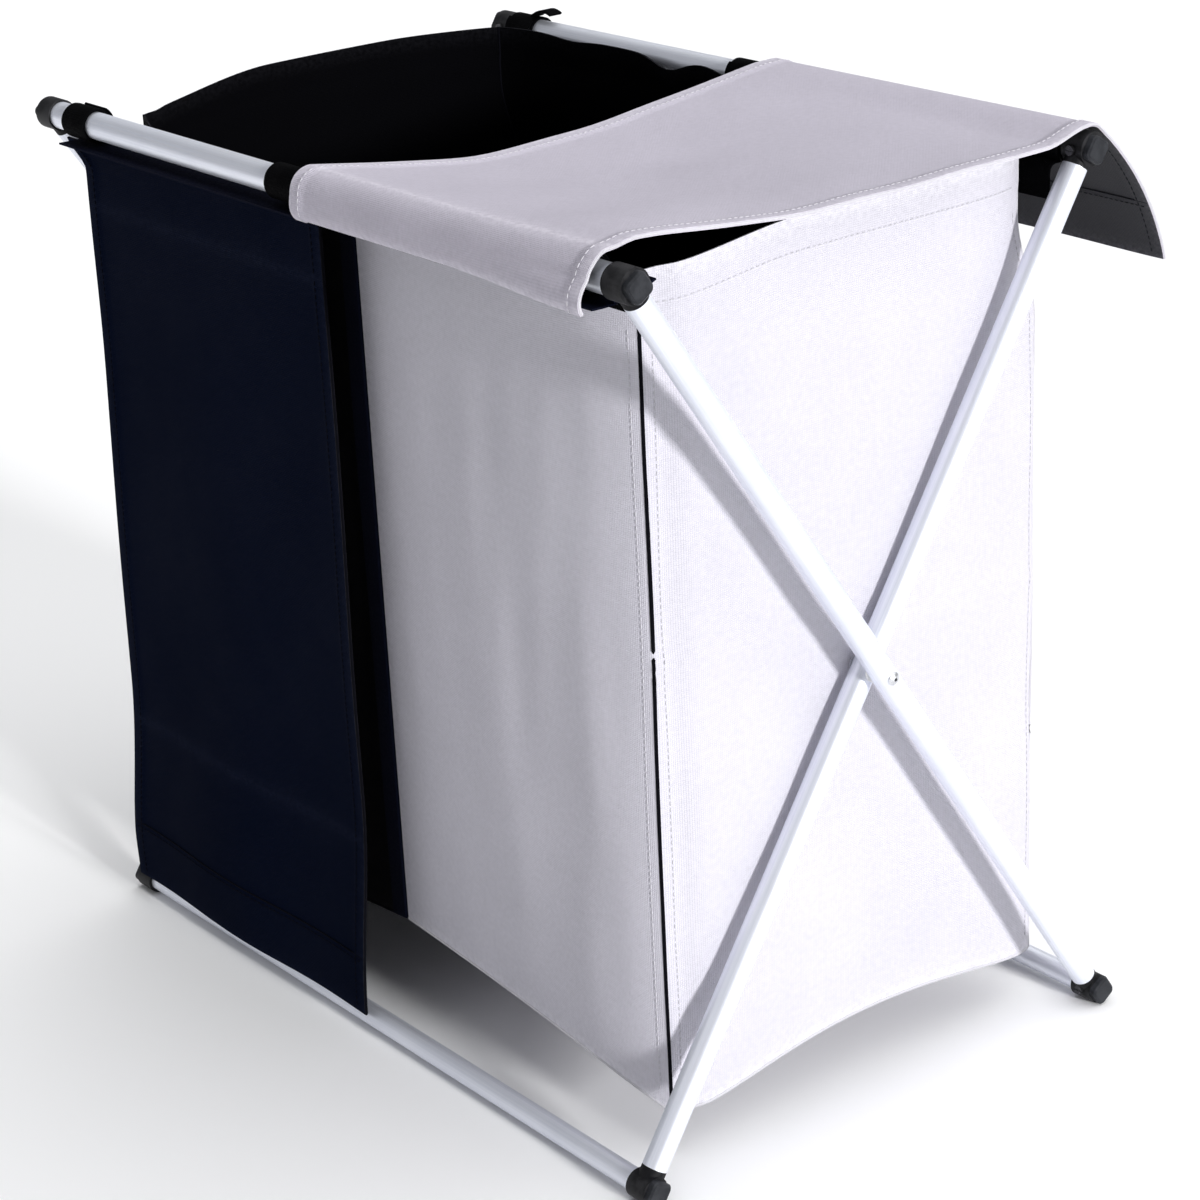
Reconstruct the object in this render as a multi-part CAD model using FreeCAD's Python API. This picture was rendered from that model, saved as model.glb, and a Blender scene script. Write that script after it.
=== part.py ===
"""Folding two-compartment laundry hamper: two crossed tube frames, a hung fabric bag and two lids.

Millimetres.  The origin is on the floor under the pivot axis, midway between the ends.  +X runs
along the hamper's length, -Y is its front, where the lids are sewn on, and +Z is up.  Everything
is drawn with the frame standing open, the right lid closed and the left lid hanging open.
"""
import FreeCAD, Part
import math
import os

# Frame: distances between tube centre lines
RAIL_SPREAD = 372.0
FLOOR_TO_LOW_RAIL = 9.2
FLOOR_TO_TOP_RAIL = 576.0
OUTER_LEG_X = 298.5
LEG_GAP = 1.2

# Tubes
LEG_D = 16.0
LOW_RAIL_D = 14.5
TOP_RAIL_D = 18.0
TUBE_WALL = 1.2

# Corner fittings: a hub round the rail's end, with a spigot pushed into the leg
TOP_HUB_D = 21.0
LOW_HUB_D = 19.0
HUB_WIDTH = 16.4
HUB_BLIND = 3.0
HUB_CLEARANCE = 0.15
COLLAR_REACH = 12.5
SPIGOT_REACH = 38.0
SPIGOT_CLEARANCE = 0.1
CAP_SIDE = 15.4
CAP_CORNER = 4.0
CAP_THICKNESS = 5.0
CAP_CHAMFER = 1.2

# Fasteners
SCREW_SHANK_D = 2.9
SCREW_HEAD_D = 6.4
SCREW_HEAD_H = 2.2
SCREW_REACH = 6.0
SPOT_FACE_DEPTH = 0.5
RIVET_D = 4.8
RIVET_HEAD_D = 8.5
RIVET_HEAD_H = 1.8
RIVET_TAIL_H = 1.2
RIVET_BORE_D = 2.2
RUNNING_CLEARANCE = 0.1
WASHER_D = 14.0
WASHER_T = 1.0

# Bag: a flat-bottomed box of sewn panels, split in two by a divider
FABRIC_T = 1.2
BAG_HALF_LENGTH = 266.0
BAG_FRONT = -153.0
BAG_REAR = 165.0
BAG_BOTTOM = 38.0
BAG_RIM = 568.0

# Hanging loops: strap rings on the top rails, with a tail sewn to the bag's rim
LOOP_WIDTH = 29.0
LOOP_T = 2.0
LOOP_CLEARANCE = 0.3
LOOP_PATCH = 22.0
LOOP_STANDOFF = 0.4
LOOP_OUTER_X = 258.0
LOOP_INNER_X = 16.0

# Lids: one sheet each, sewn on under the front rail, wrapped over it, ending past the rear rail
LID_LENGTH = 534.0
LID_CLEAR_OF_RAIL = 14.0
LID_STRIP = 28.0
LID_PAST_REAR_RAIL = 8.0
LID_END_DROP = 60.0
LID_BEND_GAP = 1.0
LEFT_LID_X = (-280.0, 4.0)
RIGHT_LID_X = (5.0, 289.0)

# Derived
HALF_SPREAD = RAIL_SPREAD / 2
RISE = FLOOR_TO_TOP_RAIL - FLOOR_TO_LOW_RAIL
PIVOT_Z = (FLOOR_TO_TOP_RAIL + FLOOR_TO_LOW_RAIL) / 2
LEG_SPAN = math.hypot(RAIL_SPREAD, RISE)
INNER_LEG_X = OUTER_LEG_X - LEG_D - LEG_GAP
INSIDE_FRONT = BAG_FRONT + FABRIC_T
INSIDE_REAR = BAG_REAR - FABRIC_T
LOOP_R = TOP_RAIL_D / 2 + LOOP_CLEARANCE
LID_CLOSED_Y = -HALF_SPREAD - LID_CLEAR_OF_RAIL
LID_OPEN_Y = -HALF_SPREAD
LID_TOP_Z = FLOOR_TO_TOP_RAIL + LID_CLEAR_OF_RAIL
LID_SEAM_Z = LID_TOP_Z - LID_STRIP
LID_CREASE_Y = HALF_SPREAD + LID_PAST_REAR_RAIL
LID_MAIN = LID_CREASE_Y - LID_CLOSED_Y
LID_END = LID_LENGTH - LID_STRIP - LID_MAIN

X_AXIS = FreeCAD.Vector(1, 0, 0)
SIDES = (("left", -1), ("right", 1))


def vec(x, y, z):
    return FreeCAD.Vector(x, y, z)


def save(node, shape):
    shape.exportStep(os.path.join("parts", node + ".step"))


def group(shapes):
    return Part.makeCompound(shapes)


def rod(diameter, start, end):
    """A solid bar between two points."""
    run = end.sub(start)
    return Part.makeCylinder(diameter / 2, run.Length, start, run)


def tube(diameter, start, end):
    """A thin-walled tube between two points."""
    return rod(diameter, start, end).cut(rod(diameter - 2 * TUBE_WALL, start, end))


def yz_prism(points, x0, x1):
    """A prism along X with a closed outline given as (y, z) pairs."""
    outline = [vec(x0, y, z) for y, z in points]
    face = Part.Face(Part.makePolygon(outline + outline[:1]))
    return face.extrude(vec(x1 - x0, 0, 0))


def sheet(x0, x1, start, end, start_gap, end_gap):
    """A flat strip of fabric along X, its mid-plane between two (y, z) points less the gaps."""
    length = math.hypot(end[0] - start[0], end[1] - start[1])
    dy = (end[0] - start[0]) / length
    dz = (end[1] - start[1]) / length
    first = (start[0] + dy * start_gap, start[1] + dz * start_gap)
    last = (end[0] - dy * end_gap, end[1] - dz * end_gap)
    ny = dz * FABRIC_T / 2
    nz = -dy * FABRIC_T / 2
    corners = [
        (first[0] + ny, first[1] + nz),
        (last[0] + ny, last[1] + nz),
        (last[0] - ny, last[1] - nz),
        (first[0] - ny, first[1] - nz),
    ]
    return yz_prism(corners, x0, x1)


class Frame:
    """One of the two crossed frames: a leg at each end, joined by a top rail and a low rail."""

    def __init__(self, name, leg_x, top_y):
        self.name = name
        self.leg_x = leg_x
        self.top = (top_y, FLOOR_TO_TOP_RAIL)
        self.low = (-top_y, FLOOR_TO_LOW_RAIL)
        self.up = vec(0, 2 * top_y / LEG_SPAN, RISE / LEG_SPAN)

    def along_leg(self, side, distance):
        """A point on a leg's centre line, measured up from the low rail's centre."""
        start = vec(side * self.leg_x, self.low[0], self.low[1])
        return start.add(vec(0, self.up.y * distance, self.up.z * distance))

    def rail(self, end, diameter):
        """A rail whose ends stop inside the hubs."""
        y, z = end
        reach = self.leg_x + HUB_WIDTH / 2 - HUB_BLIND
        body = tube(diameter, vec(-reach, y, z), vec(reach, y, z))
        holes = [self.screw_hole(end, side) for _, side in SIDES]
        return body.cut(group(holes))

    def leg(self, side, pivot_hole_d):
        """A leg tube between its two fittings, drilled for the pivot rivet."""
        body = tube(
            LEG_D,
            self.along_leg(side, COLLAR_REACH),
            self.along_leg(side, LEG_SPAN - COLLAR_REACH),
        )
        x = side * self.leg_x
        hole = rod(pivot_hole_d, vec(x - LEG_D, 0, PIVOT_Z), vec(x + LEG_D, 0, PIVOT_Z))
        return body.cut(hole)

    def hub_d(self, end):
        return LOW_HUB_D if end is self.low else TOP_HUB_D

    def inward(self, end):
        """The horizontal direction from a rail towards the middle of the hamper."""
        return -1 if end[0] > 0 else 1

    def screw_hole(self, end, side):
        """The drilling for a fitting's screw, through the hub and the rail's near wall."""
        y, z = end
        x = side * self.leg_x
        return rod(SCREW_SHANK_D, vec(x, y, z), vec(x, y + self.inward(end) * TOP_HUB_D, z))

    def screw(self, end, side):
        """A pan-head self-tapping screw that locks a rail in its hub."""
        y, z = end
        x = side * self.leg_x
        way = self.inward(end)
        seat = self.screw_seat(end)
        head = rod(SCREW_HEAD_D, vec(x, seat, z), vec(x, seat + way * SCREW_HEAD_H, z))
        shank = rod(SCREW_SHANK_D, vec(x, y + way * SCREW_REACH, z), vec(x, seat, z))
        slot = Part.makeBox(SCREW_HEAD_D, 1.0, 1.0, vec(x - SCREW_HEAD_D / 2, -0.5, z - 0.5))
        slot.translate(vec(0, seat + way * SCREW_HEAD_H, 0))
        return head.fuse(shank).cut(slot).removeSplitter()

    def screw_seat(self, end):
        """How far back the flat lies that a screw's head is tightened on to."""
        return end[0] + self.inward(end) * (self.hub_d(end) / 2 - SPOT_FACE_DEPTH)

    def spot_face(self, end, side):
        """The flat cut for a screw's head, into the hub and the leg's collar."""
        x = side * self.leg_x
        seat = self.screw_seat(end)
        far = seat + self.inward(end) * LEG_D
        return rod(SCREW_HEAD_D + 2 * HUB_CLEARANCE, vec(x, seat, end[1]), vec(x, far, end[1]))

    def fitting(self, end, side, rail_d):
        """A moulded hub with a blind socket for the rail, and a collar and spigot for the leg."""
        y, z = end
        x = side * self.leg_x
        half = HUB_WIDTH / 2
        hub = rod(self.hub_d(end), vec(x - half, y, z), vec(x + half, y, z))
        sign = 1 if end is self.low else -1
        run = vec(0, self.up.y * sign, self.up.z * sign)
        centre = vec(x, y, z)
        collar = Part.makeCylinder(LEG_D / 2, COLLAR_REACH, centre, run)
        spigot_d = LEG_D - 2 * TUBE_WALL - 2 * SPIGOT_CLEARANCE
        spigot = Part.makeCylinder(spigot_d / 2, SPIGOT_REACH, centre, run)
        body = hub.fuse([collar, spigot])
        socket_d = rail_d + 2 * HUB_CLEARANCE
        socket_end = x + side * (half - HUB_BLIND)
        body = body.cut(rod(socket_d, vec(x - side * half, y, z), vec(socket_end, y, z)))
        body = body.cut([self.screw_hole(end, side), self.spot_face(end, side)])
        side_length = 2 * LOW_HUB_D
        corner = vec(x - LOW_HUB_D, y - LOW_HUB_D, -side_length)
        floor = Part.makeBox(side_length, side_length, side_length, corner)
        return body.cut(floor)

    def end_cap(self, end, side):
        """A rounded-square cap on a hub's outer face, with a chamfered rim."""
        y, z = end
        x = side * (self.leg_x + HUB_WIDTH / 2)
        half = CAP_SIDE / 2
        cap = Part.makeBox(CAP_THICKNESS, CAP_SIDE, CAP_SIDE, vec(0, -half, -half))
        corners = [e for e in cap.Edges if abs(e.tangentAt(e.FirstParameter).x) > 0.9]
        cap = cap.makeFillet(CAP_CORNER, corners)
        rim = [e for e in cap.Edges if e.CenterOfMass.x > CAP_THICKNESS - 0.01]
        cap = cap.makeChamfer(CAP_CHAMFER, rim)
        turn = math.degrees(math.atan2(-self.up.y, self.up.z))
        cap.rotate(vec(0, 0, 0), X_AXIS, turn)
        if side < 0:
            cap.rotate(vec(0, 0, 0), vec(0, 0, 1), 180)
            cap.rotate(vec(0, 0, 0), X_AXIS, 2 * turn)
        cap.translate(vec(x, y, z))
        return cap

    def build(self, top_rail, low_rail, leg_hole_d):
        save(top_rail, self.rail(self.top, TOP_RAIL_D))
        save(low_rail, self.rail(self.low, LOW_RAIL_D))
        corners = (("top", self.top, TOP_RAIL_D), ("bottom", self.low, LOW_RAIL_D))
        for side_name, side in SIDES:
            save(f"{self.name}_leg_{side_name}", self.leg(side, leg_hole_d))
            for level, end, rail_d in corners:
                node = f"{self.name}_fitting_{level}_{side_name}"
                save(node, self.fitting(end, side, rail_d))
        places = [(end, side) for _, end, _ in corners for _, side in SIDES]
        save(f"{self.name}_end_caps", group([self.end_cap(*place) for place in places]))
        save(f"{self.name}_screws", group([self.screw(*place) for place in places]))


def pivot_rivet(side):
    """A blind rivet through both legs: domed head outside, flat tail inside."""
    outer = OUTER_LEG_X + LEG_D / 2
    inner = INNER_LEG_X - LEG_D / 2
    shank = rod(RIVET_D, vec(inner, 0, PIVOT_Z), vec(outer, 0, PIVOT_Z))
    tail = rod(RIVET_HEAD_D, vec(inner - RIVET_TAIL_H, 0, PIVOT_Z), vec(inner, 0, PIVOT_Z))
    dome_r = (RIVET_HEAD_D**2 / 4 + RIVET_HEAD_H**2) / (2 * RIVET_HEAD_H)
    ball = Part.makeSphere(dome_r, vec(outer + RIVET_HEAD_H - dome_r, 0, PIVOT_Z))
    slab = rod(RIVET_HEAD_D, vec(outer, 0, PIVOT_Z), vec(outer + RIVET_HEAD_H, 0, PIVOT_Z))
    body = shank.fuse([tail, ball.common(slab)])
    bore = rod(RIVET_BORE_D, vec(outer - LEG_D, 0, PIVOT_Z), vec(outer + LEG_D, 0, PIVOT_Z))
    body = body.cut(bore)
    if side < 0:
        body = body.mirror(vec(0, 0, 0), X_AXIS)
    return body


def pivot_washer(side):
    """A nylon washer that keeps the crossed legs apart."""
    middle = side * (OUTER_LEG_X + INNER_LEG_X) / 2
    start = vec(middle - WASHER_T / 2, 0, PIVOT_Z)
    end = vec(middle + WASHER_T / 2, 0, PIVOT_Z)
    hole_d = RIVET_D + 2 * RUNNING_CLEARANCE
    return rod(WASHER_D, start, end).cut(rod(hole_d, start, end))


def hanging_loop(x, front):
    """A strap ring on a top rail, its tail running down to the bag's rim and sewn on outside."""
    way = 1 if front else -1
    rail_y = -way * HALF_SPREAD
    half = LOOP_WIDTH / 2
    start = vec(x - half, rail_y, FLOOR_TO_TOP_RAIL)
    end = vec(x + half, rail_y, FLOOR_TO_TOP_RAIL)
    ring = rod(2 * (LOOP_R + LOOP_T), start, end)
    panel_y = (BAG_FRONT if front else BAG_REAR) - way * LOOP_STANDOFF
    outer_y = panel_y - way * LOOP_T
    # the tail leaves the ring's underside as a tangent and meets the panel at its rim
    low_z = FLOOR_TO_TOP_RAIL - LOOP_R - LOOP_T
    tail = [
        (rail_y, low_z),
        (outer_y, BAG_RIM - LOOP_T),
        (outer_y, BAG_RIM - LOOP_PATCH),
        (panel_y, BAG_RIM - LOOP_PATCH),
        (panel_y, BAG_RIM),
        (rail_y, low_z + LOOP_T + 1.0),
    ]
    body = ring.fuse(yz_prism(tail, x - half, x + half))
    return body.cut(rod(2 * LOOP_R, start, end)).removeSplitter()


def upright_panel(x0, x1, y0, y1):
    return Part.makeBox(x1 - x0, y1 - y0, BAG_RIM - BAG_BOTTOM, vec(x0, y0, BAG_BOTTOM))


def compartment(name, x0, x1):
    """One half of the bag: front, rear and outer end panels and a base, open at the top."""
    outer_x = x0 if name == "left" else x1 - FABRIC_T
    save(f"{name}_front_panel", upright_panel(x0, x1, BAG_FRONT, INSIDE_FRONT))
    save(f"{name}_rear_panel", upright_panel(x0, x1, INSIDE_REAR, BAG_REAR))
    end_panel = upright_panel(outer_x, outer_x + FABRIC_T, INSIDE_FRONT, INSIDE_REAR)
    save(f"{name}_end_panel", end_panel)
    half_divider = FABRIC_T / 2
    base_x0 = x0 + FABRIC_T if name == "left" else half_divider
    base_x1 = -half_divider if name == "left" else x1 - FABRIC_T
    corner = vec(base_x0, INSIDE_FRONT, BAG_BOTTOM)
    depth = INSIDE_REAR - INSIDE_FRONT
    save(f"{name}_base_panel", Part.makeBox(base_x1 - base_x0, depth, FABRIC_T, corner))


def bag():
    compartment("left", -BAG_HALF_LENGTH, 0)
    compartment("right", 0, BAG_HALF_LENGTH)
    divider = upright_panel(-FABRIC_T / 2, FABRIC_T / 2, INSIDE_FRONT, INSIDE_REAR)
    save("centre_divider", divider)


def lid(name, x_range, points):
    """A sewn-on strip, the panel that covers the bag and the end, parted where the sheet bends."""
    x0, x1 = x_range
    seam, edge, crease, tip = points
    gap = LID_BEND_GAP
    save(f"{name}_strip", sheet(x0, x1, seam, edge, 0, gap))
    save(f"{name}_panel", sheet(x0, x1, edge, crease, gap, gap))
    save(f"{name}_end", sheet(x0, x1, crease, tip, gap, 0))


def right_lid():
    """Closed: up in front of the rail, back over both rails, and down behind the rear one."""
    drop = math.radians(LID_END_DROP)
    tip_y = LID_CREASE_Y + LID_END * math.cos(drop)
    tip_z = LID_TOP_Z - LID_END * math.sin(drop)
    seam = (LID_CLOSED_Y, LID_SEAM_Z)
    edge = (LID_CLOSED_Y, LID_TOP_Z)
    crease = (LID_CREASE_Y, LID_TOP_Z)
    lid("right_lid", RIGHT_LID_X, (seam, edge, crease, (tip_y, tip_z)))


def left_lid():
    """Open: hanging straight down from its seam, under the front rail."""
    heights = [LID_SEAM_Z]
    for length in (LID_STRIP, LID_MAIN, LID_END):
        heights.append(heights[-1] - length)
    lid("left_lid", LEFT_LID_X, [(LID_OPEN_Y, z) for z in heights])


def loops():
    for side_name, side in SIDES:
        for place, x in (("outer", LOOP_OUTER_X), ("inner", LOOP_INNER_X)):
            save(f"front_loop_{side_name}_{place}", hanging_loop(side * x, True))
            save(f"rear_loop_{side_name}_{place}", hanging_loop(side * x, False))


def pivots():
    save("pivot_rivets", group([pivot_rivet(side) for _, side in SIDES]))
    save("pivot_washers", group([pivot_washer(side) for _, side in SIDES]))


def main():
    os.makedirs("parts", exist_ok=True)
    outer = Frame("outer", OUTER_LEG_X, -HALF_SPREAD)
    inner = Frame("inner", INNER_LEG_X, HALF_SPREAD)
    outer.build("top_front_rail", "bottom_rear_rail", RIVET_D)
    inner.build("top_rear_rail", "bottom_front_rail", RIVET_D + 2 * RUNNING_CLEARANCE)
    pivots()
    bag()
    loops()
    right_lid()
    left_lid()


main()
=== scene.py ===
"""Looks of the folding two-compartment laundry hamper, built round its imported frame.

Metres, in the frame's own axes: +X along the hamper, -Y its front, +Z up.  The tubes, fittings
and fasteners are the frame's own nodes with better materials.  Everything sewn is built here:
the two bag shells, the divider, the hanging loops and the two lids.
"""
import math

import bmesh
import bpy
from mathutils import Matrix, Vector, noise


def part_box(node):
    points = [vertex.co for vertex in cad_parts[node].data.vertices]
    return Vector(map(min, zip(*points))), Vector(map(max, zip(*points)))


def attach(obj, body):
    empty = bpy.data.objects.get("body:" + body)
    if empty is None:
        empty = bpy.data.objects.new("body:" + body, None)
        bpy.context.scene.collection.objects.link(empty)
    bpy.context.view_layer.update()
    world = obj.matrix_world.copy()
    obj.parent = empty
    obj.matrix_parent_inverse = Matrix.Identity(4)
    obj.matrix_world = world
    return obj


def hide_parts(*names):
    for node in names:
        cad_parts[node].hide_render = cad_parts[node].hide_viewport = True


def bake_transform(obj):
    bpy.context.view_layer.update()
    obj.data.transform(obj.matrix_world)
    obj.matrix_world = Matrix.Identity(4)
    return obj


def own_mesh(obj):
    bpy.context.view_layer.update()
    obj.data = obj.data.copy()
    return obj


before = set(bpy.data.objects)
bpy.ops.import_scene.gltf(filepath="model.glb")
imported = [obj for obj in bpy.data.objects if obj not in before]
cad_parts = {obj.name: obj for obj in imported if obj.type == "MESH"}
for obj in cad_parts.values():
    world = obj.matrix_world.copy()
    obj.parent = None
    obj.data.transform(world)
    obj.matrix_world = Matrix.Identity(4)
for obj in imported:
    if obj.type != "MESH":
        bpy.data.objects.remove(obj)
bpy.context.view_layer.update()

MM = 0.001


def middle(node):
    low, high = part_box(node)
    return (low + high) / 2


# Places taken from the frame
FRONT_RAIL = middle("top_front_rail")
REAR_RAIL = middle("top_rear_rail")
RAIL_R = (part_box("top_front_rail")[1].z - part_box("top_front_rail")[0].z) / 2
BAG_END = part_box("right_end_panel")[1].x
BAG_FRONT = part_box("right_front_panel")[0].y
BAG_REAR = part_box("right_rear_panel")[1].y
BAG_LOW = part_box("right_base_panel")[0].z
BAG_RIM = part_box("right_front_panel")[1].z
LID_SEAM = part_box("right_lid_strip")[0].z
LID_X = (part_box("right_lid_panel")[0].x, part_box("right_lid_panel")[1].x)
FLAP_X = (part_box("left_lid_panel")[0].x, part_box("left_lid_panel")[1].x)
FLAP_Y = middle("left_lid_panel").y
FLAP_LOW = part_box("left_lid_end")[0].z
FLAP_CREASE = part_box("left_lid_end")[1].z
FLAP_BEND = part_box("left_lid_panel")[1].z

# Cloth and trim
CLOTH = 1.2 * MM
THREAD_R = 0.38 * MM
STITCH = 3.0 * MM
STITCH_GAP = 1.3 * MM
PIPING_R = 0.85 * MM
HEM_EXTRA = 1.2 * MM
HEM_SIDE = 11 * MM
HEM_TIP = 40 * MM
HEM_RIM = 22 * MM
SEAM_R = 1.2 * MM
# Radius of the dark cords along a lid tip's hem fold, which are painted shadow of the fold edge.
FOLD_SHADE_LINE_R = 0.5 * MM

# Bag
CORNER_INSET = 10 * MM
CORNER_REACH = 20 * MM
WALL_BULGE = 5 * MM
RIM_BULGE = 8 * MM
RIM_LIFT = 10 * MM
REAR_LIFT = 7.5 * MM
LEFT_END_LIFT = 12 * MM
LEFT_CORNER_LIFT = 8 * MM
REAR_SLACK = 16 * MM
RIM_DIP = 8 * MM
RIM_SAG = 3 * MM
FOOT_LOW = BAG_LOW - 9 * MM
FOOT_RISE = 42 * MM
FOOT_ARCH = 20 * MM
BASE_SAG = 9 * MM
DIVIDER_FOOT_SAG = 5 * MM
DIVIDER_RIM_SAG = 16 * MM
BINDING_WIDTH = 16 * MM
BINDING_LIFT = 1.3 * MM

# Hanging loops
STRAP_THICK = 1.8 * MM
STRAP_STANDOFF = 1.4 * MM
TAIL_THICK = 1.6 * MM
TAIL_STANDOFF = 3.4 * MM
LOOSE_END_WIDTH = 12 * MM

# Open lid
FLAP_TUCK = 12 * MM
FLAP_SPREAD = 18 * MM
FLAP_STANDOFF = 2.5 * MM
FLAP_LEAN = 13 * MM
FLAP_TIP_TURN = 4 * MM
FLAP_TOP_FLARE = 22 * MM
FLAP_TIP = FLAP_LOW - 12 * MM

# Closed lid
LID_WRAP_R = 14.5 * MM
LID_SEAM_R = 19 * MM
LID_SEAM_ANGLE = math.radians(231)
LID_SAG_LEFT = 19.5 * MM
LID_LOWEST = 0.31
LID_SAG_RIGHT = 7.5 * MM
LID_RIDGE = 5 * MM
LID_FLARE = 6 * MM
LID_PULL_IN = 2 * MM
LID_END_ANGLE = math.radians(33)
LID_END_BULGE = 8 * MM
LID_MAIN_END_ANGLE = math.radians(56)
LID_END_RUN = 108 * MM
MAIN_FLAT = 0.97

# Camera, in degrees and metres; the lens is in millimetres
CAMERA_PLACE = (1.5056, -1.1631, 1.0303)
CAMERA_AZIMUTH = 51.80
CAMERA_ELEVATION = 22.19
CAMERA_ROLL = -2.79
CAMERA_LENS = 91.58


# ---------------------------------------------------------------- numbers

def mix(a, b, t):
    return a + (b - a) * t


def smooth(low, high, x):
    t = min(max((x - low) / (high - low), 0.0), 1.0)
    return t * t * (3 - 2 * t)


def steps(start, end, count):
    return [mix(start, end, i / count) for i in range(count + 1)]


def wrinkle(x, y, z, size):
    """Smooth random height between -1 and 1, with detail of about that size."""
    return noise.noise(Vector((x, y, z)) / size)


def bell(x, centre, width):
    return math.exp(-(((x - centre) / width) ** 2))


# ---------------------------------------------------------------- meshes

class Piece:
    """The mesh of one piece while it is put together."""

    def __init__(self):
        self.points = []
        self.weave = []
        self.wear = []
        self.faces = []
        self.slots = []

    def point(self, place, weave=(0.0, 0.0), wear=0.0):
        self.points.append(place)
        self.weave.append((weave[0], weave[1], 0.0))
        self.wear.append(wear)
        return len(self.points) - 1

    def face(self, corners, slot=0):
        self.faces.append(corners)
        self.slots.append(slot)

    def build(self, name, materials):
        mesh = bpy.data.meshes.new(name)
        mesh.from_pydata([tuple(p) for p in self.points], [], self.faces)
        weave = mesh.attributes.new("weave", "FLOAT_VECTOR", "POINT")
        weave.data.foreach_set("vector", [c for w in self.weave for c in w])
        wear = mesh.attributes.new("wear", "FLOAT", "POINT")
        wear.data.foreach_set("value", self.wear)
        for material in materials:
            mesh.materials.append(material)
        mesh.polygons.foreach_set("material_index", self.slots)
        work = bmesh.new()
        work.from_mesh(mesh)
        bmesh.ops.recalc_face_normals(work, faces=work.faces)
        for face in work.faces:
            face.smooth = True
        for edge in work.edges:
            edge.smooth = len(edge.link_faces) == 2 and edge.calc_face_angle() < 0.7
        work.to_mesh(mesh)
        work.free()
        obj = bpy.data.objects.new(name, mesh)
        bpy.context.scene.collection.objects.link(obj)
        return obj


def surface_frame(surface, u, v):
    """The point on a surface and its unit normal."""
    step = 1e-3
    along = surface(u + step, v) - surface(u - step, v)
    across = surface(u, v + step) - surface(u, v - step)
    return surface(u, v), along.cross(across).normalized()


def cloth(name, surface, us, vs, size, materials, thickness=None):
    """A closed sheet on surface(u, v): materials are its outer and inner cloth, in that order."""
    piece = Piece()
    width, length = size
    count = len(us)
    for side in (0.5, -0.5):
        for v in vs:
            for u in us:
                place, normal = surface_frame(surface, u, v)
                thick = thickness(u, v) if thickness else CLOTH
                edge_u = min(u - us[0], us[-1] - u) / (us[-1] - us[0]) * width
                edge_v = min(v - vs[0], vs[-1] - v) / (vs[-1] - vs[0]) * length
                wear = math.exp(-min(edge_u, edge_v) / (4 * MM))
                weave = (u / (us[-1] - us[0]) * width, v / (vs[-1] - vs[0]) * length)
                piece.point(place + normal * thick * side, weave, wear)
    layer = count * len(vs)
    for j in range(len(vs) - 1):
        for i in range(count - 1):
            a = j * count + i
            quad = (a, a + 1, a + count + 1, a + count)
            piece.face(quad, 0)
            piece.face(tuple(layer + k for k in reversed(quad)), 1)
    border = [i for i in range(count)]
    border += [j * count + count - 1 for j in range(1, len(vs))]
    border += [(len(vs) - 1) * count + i for i in range(count - 2, -1, -1)]
    border += [j * count for j in range(len(vs) - 2, 0, -1)]
    for k, a in enumerate(border):
        b = border[(k + 1) % len(border)]
        piece.face((b, a, layer + a, layer + b), 0)
    return piece.build(name, materials)


def sweep(piece, frames, profile, slot=0, closed=False, scale=None):
    """Draws a closed profile of (across, up) offsets along frames of (place, across, up)."""
    size = len(profile)
    first = len(piece.points)
    run = 0.0
    for k, (place, across, up) in enumerate(frames):
        if k:
            run += (place - frames[k - 1][0]).length
        grow = scale[k] if scale else 1.0
        for a, b in profile:
            piece.point(place + across * a * grow + up * b * grow, (a, run))
    rings = len(frames)
    for k in range(rings if closed else rings - 1):
        here = first + k * size
        there = first + ((k + 1) % rings) * size
        for i in range(size):
            j = (i + 1) % size
            piece.face((here + i, here + j, there + j, there + i), slot)
    if not closed:
        piece.face(tuple(first + i for i in range(size)), slot)
        piece.face(tuple(first + (rings - 1) * size + i for i in reversed(range(size))), slot)


def round_profile(radius, sides=8):
    turn = 2 * math.pi / sides
    return [(radius * math.cos(turn * i), radius * math.sin(turn * i)) for i in range(sides)]


def strap_profile(width, thickness):
    """A flat strap's section with eased edges."""
    w, t = width / 2, thickness / 2
    ease = t * 0.8
    return [
        (w, t - ease), (w - ease, t), (0, t), (ease - w, t),
        (-w, t - ease), (-w, ease - t), (ease - w, -t), (0, -t), (w - ease, -t), (w, ease - t),
    ]


def line_frames(places, ups):
    """Frames along a line of places, with the given directions kept as near as can be to up."""
    frames = []
    for k, place in enumerate(places):
        run = places[min(k + 1, len(places) - 1)] - places[max(k - 1, 0)]
        across = run.cross(ups[k]).normalized()
        frames.append((place, across, across.cross(run).normalized()))
    return frames


def path_on(surface, line, lift, side=1):
    """Places and outward directions along a line of (u, v) on a surface."""
    places, ups = [], []
    for u, v in line:
        place, normal = surface_frame(surface, u, v)
        places.append(place + normal * lift * side)
        ups.append(normal * side)
    return places, ups


def piping(piece, surface, line, slot=0, radius=PIPING_R, lift=0.0):
    places, ups = path_on(surface, line, lift)
    sweep(piece, line_frames(places, ups), round_profile(radius), slot)


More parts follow.
